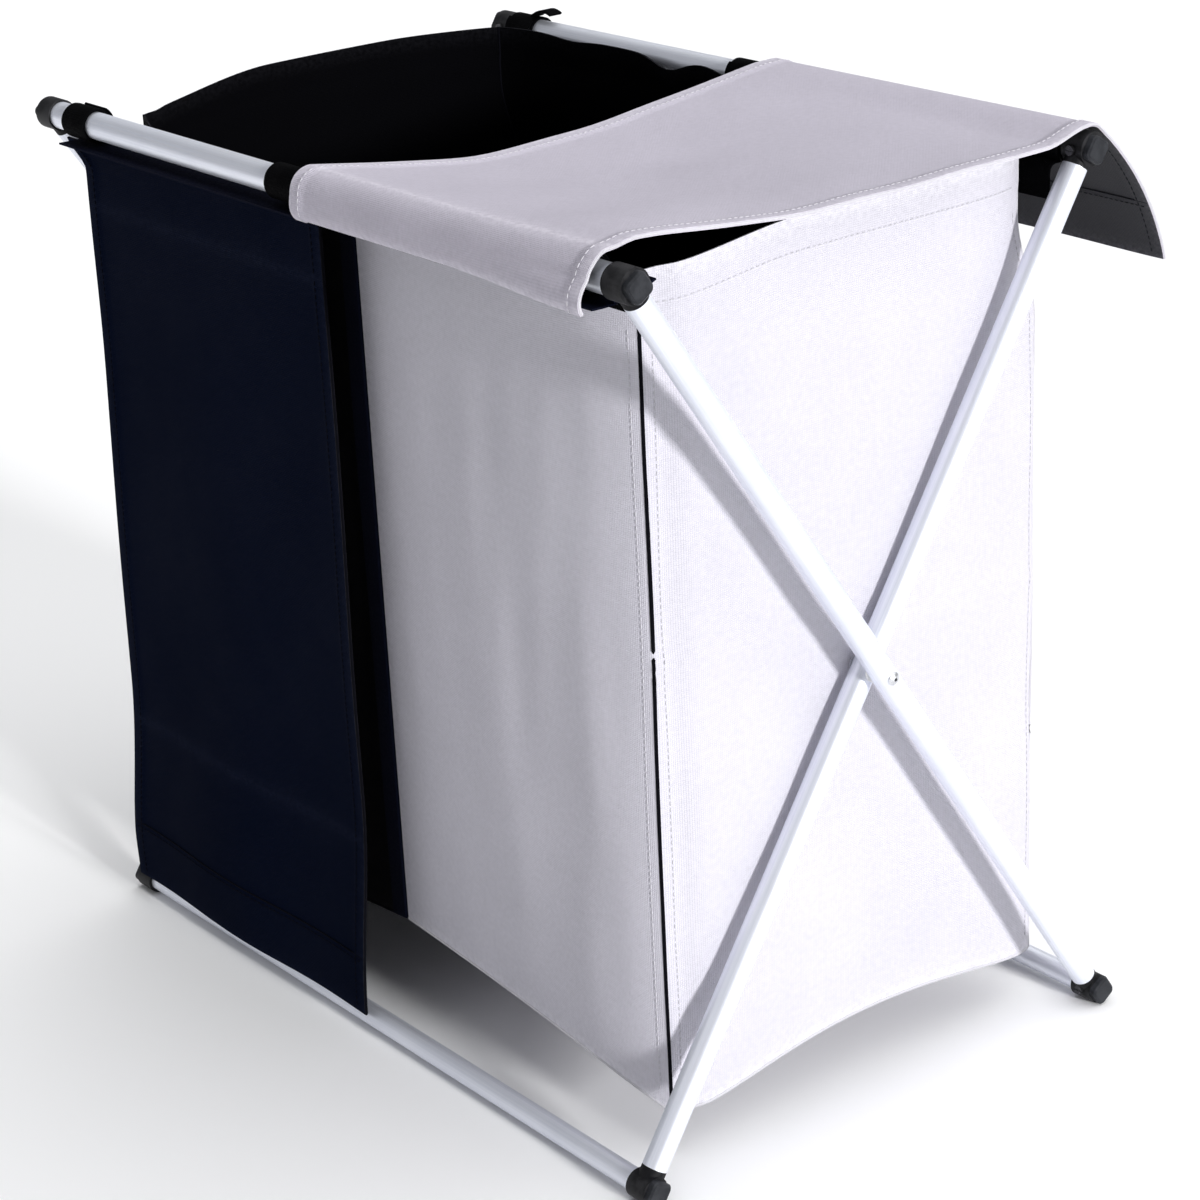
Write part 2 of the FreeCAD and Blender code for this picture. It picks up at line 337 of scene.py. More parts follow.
def stitches(piece, surface, line, lift, slot=0, side=1):
    """A row of lockstitches lying on a surface along a line of (u, v)."""
    places, ups = path_on(surface, line, lift, side)
    lengths = [0.0]
    for a, b in zip(places, places[1:]):
        lengths.append(lengths[-1] + (b - a).length)
    pitch = STITCH + STITCH_GAP
    count = int(lengths[-1] / pitch)
    k = 0
    for n in range(count):
        marks = [n * pitch + STITCH_GAP / 2 + STITCH * part for part in (0, 0.25, 0.75, 1)]
        spots, tops = [], []
        for mark in marks:
            while lengths[k + 1] < mark and k < len(lengths) - 2:
                k += 1
            share = (mark - lengths[k]) / max(lengths[k + 1] - lengths[k], 1e-9)
            spots.append(places[k].lerp(places[k + 1], share))
            tops.append(ups[k].lerp(ups[k + 1], share).normalized())
        k = max(k - 1, 0)
        sweep(piece, line_frames(spots, tops), round_profile(THREAD_R, 6), slot,
              scale=(0.35, 1.0, 1.0, 0.35))


# ---------------------------------------------------------------- materials

class Shader:
    """A Principled material and the few node helpers that the looks below share."""

    def __init__(self, name, roughness, **constants):
        self.material = bpy.data.materials.new(name)
        self.material.use_nodes = True
        self.tree = self.material.node_tree
        self.out = self.tree.nodes["Principled BSDF"]
        self.out.inputs["Roughness"].default_value = roughness
        for socket, value in constants.items():
            self.out.inputs[socket.replace("_", " ")].default_value = value

    def node(self, kind, inputs=(), **settings):
        made = self.tree.nodes.new("ShaderNode" + kind)
        for key, value in settings.items():
            setattr(made, key, value)
        for socket, value in dict(inputs).items():
            if isinstance(value, bpy.types.NodeSocket):
                self.tree.links.new(value, made.inputs[socket])
            else:
                made.inputs[socket].default_value = value
        return made

    def math(self, operation, a, b=0.0, clamp=False):
        made = self.node("Math", {0: a, 1: b}, operation=operation, use_clamp=clamp)
        return made.outputs[0]

    def noise(self, place, scale, detail=3.0, roughness=0.5):
        inputs = {"Vector": place, "Scale": scale, "Detail": detail, "Roughness": roughness}
        return self.node("TexNoise", inputs).outputs["Fac"]

    def spread(self, value, low, high, to_low, to_high):
        inputs = {"Value": value, 1: low, 2: high, 3: to_low, 4: to_high}
        return self.node("MapRange", inputs).outputs[0]

    def blend(self, factor, a, b):
        made = self.node("Mix", {0: factor, 6: a, 7: b}, data_type="RGBA")
        return made.outputs[2]

    def bump(self, height, distance, strength=1.0, below=None):
        inputs = {"Height": height, "Distance": distance, "Strength": strength}
        if below is not None:
            inputs["Normal"] = below
        return self.node("Bump", inputs).outputs[0]

    def link(self, socket, value):
        self.tree.links.new(value, self.out.inputs[socket])

    def object_place(self):
        return self.node("TexCoord").outputs["Object"]

    def weave_place(self):
        return self.node("Attribute", attribute_name="weave").outputs["Vector"]

    def wear(self):
        return self.node("Attribute", attribute_name="wear").outputs["Fac"]


MOTTLE = 0.10
CREASE_DEPTH = 3.5 * MM * 0.6


def woven(name, colour, worn, pitch, roughness, sheen, gloss=0.3):
    """Plain-weave cloth: threads over and under, slubs, soft creases and rubbed edges."""
    s = Shader(name, roughness, Sheen_Weight=sheen, Sheen_Roughness=0.45, Specular_IOR_Level=gloss)
    place = s.weave_place()
    split = s.node("SeparateXYZ", {0: place})
    wave_u = s.math("SINE", s.math("MULTIPLY", split.outputs[0], math.pi / pitch))
    wave_v = s.math("SINE", s.math("MULTIPLY", split.outputs[1], math.pi / pitch))
    warp = s.math("ABSOLUTE", wave_u)
    weft = s.math("ABSOLUTE", wave_v)
    dip_u = s.math("MULTIPLY_ADD", warp, 0.5)
    dip_u.node.inputs[2].default_value = 0.5
    dip_v = s.math("MULTIPLY_ADD", weft, 0.5)
    dip_v.node.inputs[2].default_value = 0.5
    over = s.math("GREATER_THAN", s.math("MULTIPLY", wave_u, wave_v), 0.0)
    warp_top = s.math("MULTIPLY", warp, dip_v)
    weft_top = s.math("MULTIPLY", weft, dip_u)
    height = s.node("Mix", {0: over, 2: weft_top, 3: warp_top}, data_type="FLOAT").outputs[0]
    slub = s.noise(place, 0.35 / pitch, 2.0)
    patches = s.noise(s.object_place(), 9.0, 4.0, 0.6)
    soil = s.math("MULTIPLY", s.spread(patches, 0.35, 0.7, 0.0, 1.0), MOTTLE)
    # The dips between threads are darkened as painted shade; the soil mottle and slub tone are added to
    # the same factor.
    soil_and_painted_shade = s.math("ADD", soil, s.spread(height, 0.0, 0.8, 0.22, 0.0))
    soil_and_painted_shade = s.math("ADD", soil_and_painted_shade, s.spread(slub, 0.3, 0.7, 0.08, -0.04), clamp=True)
    dark = tuple(c * 0.45 for c in colour[:3]) + (1.0,)
    base = s.blend(soil_and_painted_shade, colour, dark)
    rub = s.math("MULTIPLY", s.wear(), s.spread(slub, 0.35, 0.65, 0.15, 0.75))
    s.link("Base Color", s.blend(rub, base, worn))
    s.link("Roughness", s.spread(patches, 0.3, 0.7, roughness - 0.07, roughness + 0.08))
    creases = s.noise(s.object_place(), 26.0, 3.0, 0.55)
    soft = s.bump(creases, CREASE_DEPTH, 0.5)
    s.link("Normal", s.bump(height, 0.35 * MM, 0.7, soft))
    return s.material


def webbing(name, colour, worn, pitch):
    """Ribbed strap: ribs across it, broken into a herringbone by its fine threads."""
    s = Shader(name, 0.8, Specular_IOR_Level=0.02)
    place = s.weave_place()
    split = s.node("SeparateXYZ", {0: place})
    slant = s.math("ADD", split.outputs[1], s.math("ABSOLUTE", split.outputs[0]))
    ribs = s.math("ABSOLUTE", s.math("SINE", s.math("MULTIPLY", slant, math.pi / pitch)))
    threads = s.math("SINE", s.math("MULTIPLY", split.outputs[0], 2 * math.pi / pitch))
    height = s.math("ADD", ribs, s.math("MULTIPLY", threads, 0.25))
    fuzz = s.noise(s.object_place(), 700.0, 2.0)
    factor = s.math("MULTIPLY", s.spread(height, 0.3, 1.2, 0.0, 0.5), fuzz)
    s.link("Base Color", s.blend(factor, colour, worn))
    s.link("Roughness", s.spread(fuzz, 0.3, 0.7, 0.6, 0.85))
    s.link("Normal", s.bump(height, 0.4 * MM, 0.8))
    return s.material


def thread(name, colour):
    """Twisted sewing thread."""
    s = Shader(name, 0.6, Sheen_Weight=0.05, Specular_IOR_Level=0.2)
    split = s.node("SeparateXYZ", {0: s.weave_place()})
    twist = s.math("SINE", s.math("MULTIPLY", split.outputs[1], 2 * math.pi / (0.6 * MM)))
    fuzz = s.noise(s.object_place(), 900.0)
    dark = tuple(c * 0.6 for c in colour[:3]) + (1.0,)
    s.link("Base Color", s.blend(s.spread(fuzz, 0.3, 0.7, 0.0, 0.6), colour, dark))
    s.link("Roughness", s.spread(fuzz, 0.3, 0.7, 0.5, 0.75))
    s.link("Normal", s.bump(twist, 0.1 * MM, 0.6))
    return s.material


def aluminium(name, lean):
    """Satin anodised tube, drawn along its length; lean turns the draw marks about X."""
    s = Shader(name, 0.5, Metallic=0.6)
    place = s.object_place()
    turned = s.node("Mapping", {"Vector": place, "Rotation": (lean, 0, 0)}).outputs[0]
    along = {"Vector": turned, "Scale": (900, 900, 5) if lean else (5, 900, 900)}
    streaks = s.noise(s.node("Mapping", along).outputs[0], 1.0, 2.0)
    clouds = s.noise(place, 16.0, 4.0)
    tint = s.math("ADD", s.spread(streaks, 0.3, 0.7, 0.0, 0.45), s.spread(clouds, 0.4, 0.7, 0, 0.3))
    s.link("Base Color", s.blend(tint, (0.86, 0.88, 0.95, 1), (0.66, 0.69, 0.78, 1)))
    edges = s.node("NewGeometry").outputs["Pointiness"]
    rough = s.math("ADD", s.spread(streaks, 0.3, 0.7, 0.40, 0.54), s.spread(clouds, 0.3, 0.7, 0, 0.1))
    s.link("Roughness", s.math("SUBTRACT", rough, s.spread(edges, 0.55, 0.65, 0.0, 0.12)))
    s.link("Normal", s.bump(streaks, 0.05 * MM, 0.35))
    return s.material


def moulded(name, colour, roughness, grain):
    """Moulded plastic: fine spark grain, scuffed lighter along its edges."""
    s = Shader(name, roughness, Specular_IOR_Level=0.15)
    place = s.object_place()
    fine = s.noise(place, grain, 2.0)
    scuffs = s.noise(place, 120.0, 5.0, 0.65)
    edges = s.spread(s.node("NewGeometry").outputs["Pointiness"], 0.52, 0.62, 0.0, 1.0)
    worn = tuple(min(c * 2.5 + 0.02, 1.0) for c in colour[:3]) + (1.0,)
    factor = s.math("MULTIPLY", edges, s.spread(scuffs, 0.4, 0.6, 0.2, 0.8), clamp=True)
    dull = s.blend(s.spread(scuffs, 0.45, 0.75, 0.0, 0.25), colour, worn)
    s.link("Base Color", s.blend(factor, dull, worn))
    s.link("Roughness", s.spread(scuffs, 0.3, 0.7, roughness - 0.08, roughness + 0.12))
    s.link("Normal", s.bump(fine, 0.12 * MM, 0.5))
    return s.material


def steel(name, colour):
    """Zinc-plated or bare fastener metal with tool marks."""
    s = Shader(name, 0.3, Metallic=0.95)
    place = s.object_place()
    marks = s.noise(place, 900.0, 3.0)
    stain = s.noise(place, 160.0, 4.0)
    dark = tuple(c * 0.55 for c in colour[:3]) + (1.0,)
    s.link("Base Color", s.blend(s.spread(stain, 0.35, 0.7, 0.0, 0.8), colour, dark))
    s.link("Roughness", s.spread(marks, 0.3, 0.7, 0.2, 0.48))
    s.link("Normal", s.bump(marks, 0.05 * MM, 0.5))
    return s.material


def floor_paint(name):
    s = Shader(name, 0.85)
    clouds = s.noise(s.object_place(), 1.5, 3.0)
    s.link("Base Color", s.blend(clouds, (0.96, 0.96, 0.96, 1), (0.94, 0.94, 0.945, 1)))
    return s.material


PITCH = 1.3 * MM
FINE_PITCH = 1.0 * MM
LIGHT_BAG = woven("bag_cloth_light", (0.60, 0.585, 0.65, 1), (0.72, 0.71, 0.76, 1), PITCH,
                  roughness=0.75, sheen=0.05)
LIGHT_LID = woven("lid_cloth_light", (0.53, 0.50, 0.58, 1), (0.69, 0.66, 0.73, 1), PITCH,
                  roughness=0.70, sheen=0.05)
NAVY = woven("lid_cloth_dark", (0.0018, 0.0038, 0.0135, 1), (0.008, 0.011, 0.025, 1), PITCH,
             roughness=0.7, sheen=0, gloss=0.012)
BLACK = woven("bag_cloth_dark", (0.0045, 0.0045, 0.006, 1), (0.018, 0.018, 0.022, 1), PITCH,
              roughness=0.8, sheen=0, gloss=0.03)
# Near-black inside cloth: the dark compartment's own lining, and painted shade inside the light
# compartment, whose inside is light cloth in shade.
LINING_AND_PAINTED_SHADE = woven("lining_cloth_and_painted_shade", (0.0018, 0.0018, 0.0024, 1), (0.008, 0.008, 0.010, 1), FINE_PITCH,
               roughness=0.9, sheen=0, gloss=0.01)
UNDERSIDE = woven("lid_underside", (0.046, 0.046, 0.051, 1), (0.12, 0.12, 0.13, 1), FINE_PITCH,
                  roughness=0.7, sheen=0.03, gloss=0.15)
BINDING = webbing("binding_navy", (0.004, 0.005, 0.013, 1), (0.012, 0.013, 0.026, 1), 1.1 * MM)
STRAP = webbing("strap_black", (0.0010, 0.0010, 0.0014, 1), (0.006, 0.006, 0.007, 1), 1.5 * MM)
PIPING_LIGHT = webbing("piping_light", (0.60, 0.59, 0.63, 1), (0.75, 0.74, 0.77, 1), 0.9 * MM)
PIPING_DARK = webbing("piping_dark", (0.003, 0.003, 0.005, 1), (0.010, 0.010, 0.014, 1), 0.9 * MM)
THREAD_LIGHT = thread("thread_light", (0.60, 0.59, 0.63, 1))
THREAD_DARK = thread("thread_dark", (0.006, 0.007, 0.013, 1))


# ---------------------------------------------------------------- bag

def rim_height(side, s):
    """The rim, held up at the loops and sagging between them; s as in wall()."""
    low = BAG_RIM - 2 * MM
    corner = LEFT_CORNER_LIFT if side < 0 else 0.0
    rear = RIM_LIFT + (REAR_LIFT if side < 0 else 0.0)
    if s <= 1:
        span = min(max((s - 0.1) / 0.82, 0.0), 1.0)
        return low - RIM_SAG * math.sin(math.pi * span) + corner * smooth(0.88, 1, s)
    if s <= 2:
        crest = corner + (LEFT_END_LIFT if side < 0 else RIM_LIFT) * smooth(0.0, 0.38, s - 1)
        return low + mix(crest, rear, smooth(0.7, 1.0, s - 1))
    near = 3 - s
    lift = mix(RIM_LIFT, rear, smooth(0.0, 0.18, near))
    return low + lift - RIM_DIP * (bell(near, 0.31, 0.075) + 0.3 * bell(near, 0.72, 0.09))


def foot_height(s):
    """The bottom seam: held up at the divider, lowest at the corners, arched along the end."""
    if 1 <= s <= 2:
        e = s - 1
        return FOOT_LOW - 2 * MM * e + FOOT_ARCH * math.sin(math.pi * e) ** 1.2
    near = s if s < 1 else 3 - s
    corner = FOOT_LOW - (2 * MM if s > 2 else 0)
    return corner + FOOT_RISE * max(1 - near, 0.0) ** 0.5


def wall(side, s, t):
    """A compartment's walls: s is 0-1 along its front, 1-2 its end, 2-3 its rear; t is height."""
    s = min(max(s, 0.0), 3.0)
    low, top = foot_height(s), rim_height(side, s)
    z = mix(low, top, t)
    full = math.sin(math.pi * min(max(t, 0.0), 1.0)) ** 0.6
    hem = 0.5 * HEM_EXTRA * smooth(top - HEM_RIM - 1.5 * MM, top - HEM_RIM, z)
    slack = REAR_SLACK * smooth(0.07, 0.2, 1 - t)
    if 1 < s < 2:
        e = s - 1
        depth = BAG_REAR - BAG_FRONT - 2 * CORNER_INSET
        from_front, from_rear = e * depth, (1 - e) * depth
        tuck = math.exp(-from_front / CORNER_REACH) + math.exp(-from_rear / CORNER_REACH)
        out = WALL_BULGE * 0.7 * math.sin(math.pi * e) * full + hem
        out -= 2.5 * MM * bell(from_front, 12 * MM, 7 * MM)
        out -= 1.6 * MM * bell(from_front, depth / 2, 5 * MM) * full
        y = BAG_FRONT + CORNER_INSET + from_front
        out += 2.2 * MM * wrinkle(side, y, z, 85 * MM) * full
        out += 1.2 * MM * bell(z + 0.12 * y, 0.315, 6 * MM) * smooth(0.05, 0.5, full)
        if side < 0:
            out += RIM_BULGE * math.sin(math.pi * e) * t ** 4
        y += slack * smooth(0.35, 1.0, e)
        return Vector((side * (BAG_END - CORNER_INSET * tuck + out), y, z))
    near = s if s <= 1 else 3 - s
    reach = BAG_END - CORNER_INSET
    from_corner = (1 - near) * reach
    x = near * reach
    out = WALL_BULGE * math.sin(math.pi * min(near * 1.02, 1.0)) * full + hem
    out += 1.7 * MM * wrinkle(side * x, s, z * 0.6, 95 * MM) * full * smooth(0, 0.1, near)
    out -= CORNER_INSET * math.exp(-from_corner / CORNER_REACH)
    y = BAG_FRONT - out if s <= 1 else BAG_REAR + out + slack
    return Vector((side * x, y, z))


def base(side, u, v):
    """The base panel, sewn to the bottom seam all round and sagging a little between."""
    u, v = min(max(u, 0.0), 1.0), min(max(v, 0.0), 1.0)
    front, rear = wall(side, u, 0), wall(side, 3 - u, 0)
    end = wall(side, 1 + v, 0)
    inner = divider_edge(v)
    place = front * (1 - v) + rear * v + inner * (1 - u) + end * u
    place -= wall(side, 0, 0) * (1 - u) * (1 - v) + wall(side, 3, 0) * (1 - u) * v
    place -= wall(side, 1, 0) * u * (1 - v) + wall(side, 2, 0) * u * v
    place.z -= BASE_SAG * math.sin(math.pi * u) * math.sin(math.pi * v)
    return place


def divider_edge(v):
    low = wall(1, 0, 0)
    rear = wall(1, 3, 0)
    place = low.lerp(rear, v)
    place.z -= DIVIDER_FOOT_SAG * math.sin(math.pi * v)
    return place


def divider(u, v):
    """The wall between the compartments, from its bottom seam to a rim that sags."""
    foot = divider_edge(u)
    top = wall(1, 0, 1).lerp(wall(1, 3, 1), u)
    top.z -= DIVIDER_RIM_SAG * math.sin(math.pi * min(max(u, 0), 1)) ** 1.2
    place = foot.lerp(top, v)
    loose = math.sin(math.pi * min(max(u, 0), 1)) * math.sin(math.pi * min(max(v, 0), 1))
    place.x += 5 * MM * wrinkle(0.3, place.y, place.z, 110 * MM) * loose
    return place


def fold_with_frame(obj):
    """A piece that hangs on the outer frame: it rides on the frame's body, with a mesh of its own."""
    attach(obj, "outer_frame")
    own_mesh(obj)
    return obj


def wall_columns(count):
    """Values of s with columns closer together at the corners, where the cloth turns."""
    found = set()
    for k in range(3):
        for i in range(count + 1):
            t = i / count
            found.add(round(k + mix(t, smooth(0, 1, t), 0.75), 6))
    return sorted(found)


def wall_rows(count):
    height = BAG_RIM - BAG_LOW
    hem = 1 - HEM_RIM / height
    rows = steps(0, hem - 3 * MM / height, count)
    return rows + [hem, hem + 3 * MM / height, hem + 10 * MM / height, 1.0]


def make_compartment(name, side, outer, inner, trim, sewing):
    def around(s, t):
        return wall(side, s if side > 0 else 3 - s, t)

    def under(u, v):
        return base(side, u, 1 - v if side > 0 else v)

    run = 2 * BAG_END + BAG_REAR - BAG_FRONT
    height = BAG_RIM - BAG_LOW
    depth = BAG_REAR - BAG_FRONT
    shell = cloth(f"{name}_bag_walls", around, wall_columns(44), wall_rows(60),
                  (run, height), [outer, inner])
    floor = cloth(f"{name}_bag_base", under, steps(0, 1, 36), steps(0, 1, 36),
                  (BAG_END, depth), [outer, inner])
    fold_with_frame(shell)
    fold_with_frame(floor)
    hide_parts(f"{name}_front_panel", f"{name}_rear_panel", f"{name}_end_panel")
    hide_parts(f"{name}_base_panel")
    seams = Piece()
    front, rear = (1, 2) if side > 0 else (2, 1)
    # Slot 0 is always the dark piping: on the light compartment this front corner line is painted
    # shadow of the seam's gap.
    piping(seams, around, [(front, t) for t in steps(0.0, 1.0, 90)], 0, SEAM_R)
    piping(seams, around, [(rear, t) for t in steps(0.0, 1.0, 90)], 2, SEAM_R)
    piping(seams, around, [(s, 0.0) for s in wall_columns(40)], 2, SEAM_R)
    hem = 1 - (HEM_RIM - 2 * MM) / height
    lift = (CLOTH / 2) + THREAD_R * 0.5
    for a, b in ((0.02, 0.985), (1.015, 1.985), (2.015, 2.98)):
        stitches(seams, around, [(s, hem) for s in steps(a, b, 70)], lift, 1)
    for s in (0.975, 1.022, 1.978, 2.025):
        stitches(seams, around, [(s, t) for t in steps(0.02, 0.94, 90)], lift, 1)
    seam = seams.build(f"{name}_bag_seams", [PIPING_DARK, sewing, trim])
    fold_with_frame(seam)


def make_divider():
    height = BAG_RIM - BAG_LOW
    depth = BAG_REAR - BAG_FRONT
    made = cloth("centre_divider_cloth", divider, steps(0, 1, 40), steps(0, 1, 50),
                 (depth, height), [BLACK, LINING_AND_PAINTED_SHADE])
    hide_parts("centre_divider")
    fold_with_frame(made)


def make_binding():
    """The navy tape over the join between the dark and the light front, and its twin behind."""
    for name, s_of in (("front", lambda u: u), ("rear", lambda u: 3 - u)):
        share = BINDING_WIDTH / BAG_END

        def tape(u, v, s_of=s_of):
            return wall(-1, s_of(u * share), v)

        def raised(u, v, tape=tape):
            place, normal = surface_frame(tape, u, v)
            out = normal if (normal.y < 0) == (name == "front") else -normal
            return place + out * BINDING_LIFT

        made = cloth(f"{name}_join_binding", raised, steps(-0.05, 1, 6), steps(0.0, 1.0, 70),
                     (BINDING_WIDTH, BAG_RIM - BAG_LOW), [BINDING, BINDING])
        fold_with_frame(made)


# ---------------------------------------------------------------- hanging loops

def ring(x, centre, width):
    """A strap wound round a rail, in frames that turn about it."""
    frames = []
    for i in range(56):
        angle = 2 * math.pi * i / 56
        radius = RAIL_R + STRAP_STANDOFF + 0.25 * MM * wrinkle(x, math.cos(angle), math.sin(angle), 0.5)
        out = Vector((0, math.cos(angle), math.sin(angle)))
        place = Vector((x, centre.y, centre.z)) + out * radius
        frames.append((place, Vector((1, 0, 0)), out))
    piece = Piece()
    sweep(piece, frames, strap_profile(width, STRAP_THICK), closed=True)
    return piece


def loose_end(piece, x, centre):
    """The strap's cut end, left sticking out sideways above the rail."""
    top = centre.z + RAIL_R + 3 * MM
    places = [Vector((x + (22 * t - 6) * MM, centre.y, top + 5 * MM * math.sin(2.4 * t)))
              for t in steps(0, 1, 12)]
    profile = strap_profile(LOOSE_END_WIDTH, 2 * MM)
    sweep(piece, line_frames(places, [Vector((0, 0, 1))] * len(places)), profile)


def tail_line(x, centre, way):
    """From the stitched patch on the bag's rim up to the ring, then half round it."""
    panel = (BAG_FRONT - 2.6 * MM) if way < 0 else (BAG_REAR + 2.6 * MM)
    places = [Vector((x, panel, BAG_RIM - z * MM)) for z in (22, 17, 12, 7)]
    radius = RAIL_R + TAIL_STANDOFF
    turns = steps(math.radians(-45), math.radians(52), 14)
    arc = [Vector((x, centre.y - way * radius * math.cos(a), centre.z + radius * math.sin(a)))
           for a in turns]
    start, end = places[-1], arc[0]
    bend = Vector((x, panel, BAG_RIM + 1 * MM))
    for t in (0.25, 0.5, 0.75):
        places.append(start * (1 - t) ** 2 + bend * 2 * t * (1 - t) + end * t * t)
    return places + arc


def make_loop(node, way):
    low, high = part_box(node)
    x, width = (low.x + high.x) / 2, high.x - low.x
    centre = FRONT_RAIL if way < 0 else REAR_RAIL
    wound = ring(x, centre, width)
    if node == "rear_loop_left_outer":
        loose_end(wound, high.x, centre)
    band = wound.build(f"{node}_ring", [STRAP])
    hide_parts(node)
    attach(band, "outer_frame" if way < 0 else "inner_frame")
    made = make_tail(node, x, width, centre, way)


def make_tail(node, x, width, centre, way):
    """The strap's other end, sewn to the bag with a crossed square."""
    places = tail_line(x, centre, way)
    across = Vector((1, 0, 0))
    frames = []
    for k, place in enumerate(places):
        run = places[min(k + 1, len(places) - 1)] - places[max(k - 1, 0)]
        frames.append((place, across, across.cross(run).normalized()))
    tail = Piece()
    sweep(tail, frames, strap_profile(width - 1 * MM, TAIL_THICK))
    patch = BAG_FRONT if way < 0 else BAG_REAR
    # across the strap as a share of its width, and down from the rim in millimetres
    corners = [(-0.38, 4), (0.38, 4), (0.38, 19), (-0.38, 19), (-0.38, 4), (0.38, 19)]

    def face(u, v):
        return Vector((x + u * width * -way, patch + way * TAIL_STANDOFF, BAG_RIM - v * MM))

    for a, b in zip(corners, corners[1:]):
        line = [(mix(a[0], b[0], t), mix(a[1], b[1], t)) for t in steps(0, 1, 8)]
        stitches(tail, face, line, 0.3 * MM, 1, side=1)
    made = tail.build(f"{node}_tail", [STRAP, THREAD_DARK])
    return fold_with_frame(made)


# ---------------------------------------------------------------- lids

def flare(a):
    """How far the lid's free right-hand side stands off the front rail."""
    return smooth(0.55, 1.0, a)


def lid_x(a, y):
    x = mix(LID_X[0], LID_X[1] - 2 * MM, a)
    near = bell(y, FRONT_RAIL.y - 16 * MM, 24 * MM)
    return x - LID_PULL_IN * near * max(a, 0.0) ** 4


def lid_wrap(a, w):
    """From the seam under the front rail, up round its front, to its top."""
    angle = mix(LID_SEAM_ANGLE - math.radians(12) * flare(a), math.pi / 2, w)
    start = LID_SEAM_R + LID_FLARE * flare(a)
    radius = mix(start, LID_WRAP_R, smooth(0.0, 0.42, w))
    radius += LID_RIDGE * 0.4 * flare(a) * smooth(0.6, 1, w)
    radius += 0.8 * MM * wrinkle(a * 3, w, 0.2, 0.5) * math.sin(math.pi * min(max(w, 0), 1))
    y = FRONT_RAIL.y + radius * math.cos(angle)
    z = FRONT_RAIL.z + radius * math.sin(angle)
    return Vector((lid_x(a, y), y, z))


def lid_main(a, m):
    """From the front rail's top back over the bag, and part way round the rear rail."""
    if m > MAIN_FLAT:
        turn = (m - MAIN_FLAT) / (1 - MAIN_FLAT)
        angle = mix(math.pi / 2, LID_MAIN_END_ANGLE, turn)
        return rear_arc(a, angle)
    s = max(m, 0.0) / MAIN_FLAT
    y = mix(FRONT_RAIL.y, REAR_RAIL.y, m / MAIN_FLAT)
    falling = max(s / LID_LOWEST, 1e-3)
    rising = max(math.cos(math.pi / 2 * max(s - LID_LOWEST, 0) / (0.96 - LID_LOWEST)), 1e-3)
    left_sag = LID_SAG_LEFT * (falling ** -8 + rising ** -8) ** -0.125
    right_sag = LID_SAG_RIGHT * smooth(0.04, 0.44, s) * (1 - smooth(0.9, 1, s))
    z = FRONT_RAIL.z + LID_WRAP_R - mix(left_sag, right_sag, smooth(0.0, 0.9, a))
    z += LID_RIDGE * flare(a) * mix(0.4, 1.0, smooth(0, 0.05, s)) * bell(s, 0.0, 0.2)
    z -= 4 * MM * math.sin(math.pi * min(max(a, 0), 1)) * math.sin(math.pi * s)
    z += 1.6 * MM * wrinkle(a * 0.28, y, 0.7, 70 * MM) * math.sin(math.pi * s)
    return Vector((lid_x(a, y), y, z))


def rear_arc(a, angle):
    y = REAR_RAIL.y + LID_WRAP_R * math.cos(angle)
    z = REAR_RAIL.z + LID_WRAP_R * math.sin(angle)
    return Vector((lid_x(a, y), y, z))


def lid_end(a, e):
    """The rest of the turn round the rear rail, then hanging out and down behind it."""
    turn = LID_WRAP_R * (LID_MAIN_END_ANGLE - LID_END_ANGLE)
    run = e * (LID_END_RUN + turn)
    if run < turn:
        return rear_arc(a, LID_MAIN_END_ANGLE - run / LID_WRAP_R)
    start = rear_arc(a, LID_END_ANGLE)
    down = (run - turn) / LID_END_RUN
    along = Vector((0, math.sin(LID_END_ANGLE), -math.cos(LID_END_ANGLE)))
    out = Vector((0, math.cos(LID_END_ANGLE), math.sin(LID_END_ANGLE)))
    bulge = LID_END_BULGE * math.sin(math.pi * min(down, 1.0)) ** 0.8
    bulge += 2.0 * MM * wrinkle(a * 0.28, down * 0.1, 0.4, 80 * MM) * down
    return start + along * (run - turn) + out * bulge


def flap(a, z):
    """The open lid's hanging sheet, leaning forward a little towards its tip."""
    drop = (LID_SEAM - z) / (LID_SEAM - FLAP_TIP)
    loose = smooth(0.0, 0.3, drop)
    left = FLAP_X[0] + FLAP_TUCK - FLAP_SPREAD * min(drop / 0.9, 1.0)
    left += FLAP_TIP_TURN * smooth(0.93, 1, drop) - FLAP_TOP_FLARE * (1 - smooth(0.0, 0.035, drop))
    x = mix(left, FLAP_X[1] + 3 * MM * (1 - drop), a)
    y = FLAP_Y + FLAP_STANDOFF
    y = y - 0.25 * FLAP_LEAN * drop - 0.75 * FLAP_LEAN * smooth(0.72, 1, drop)
    y += 1.6 * MM * math.sin(2 * math.pi * (1.3 * a + 0.15)) * loose
    y += 1.4 * MM * wrinkle(x, 0.1, z * 0.5, 90 * MM) * loose
    return Vector((x, y, z))


def hemmed(length, tip=False):
    """A lid piece's thickness: doubled along its side hems, and along the tip's hem if it has one."""
    width = LID_X[1] - LID_X[0]

    def thickness(a, v):
        side = min(a, 1 - a) * width
        extra = 1 - smooth(HEM_SIDE, HEM_SIDE + 1.2 * MM, side)
        if tip:
            left = (1 - v) * length
            extra = max(extra, 1 - smooth(HEM_TIP, HEM_TIP + 1.2 * MM, left))
        return CLOTH + HEM_EXTRA * extra
    return thickness


def lid_columns():
    edge = (HEM_SIDE + 0.6 * MM) / (LID_X[1] - LID_X[0])
    near = [0, edge * 0.5, edge * 0.93, edge * 1.07]
    return near + steps(edge * 1.4, 1 - edge * 1.4, 44) + [1 - v for v in reversed(near)]


def rows_with_hem(length, count):
    line = 1 - (HEM_TIP + 0.6 * MM) / length
    step = 0.9 * MM / length
    rows = steps(0, line - 2 * step, count) + [line - step * 0.8, line + step * 0.8]
    return rows + steps(line + 3 * step, 1, 10)


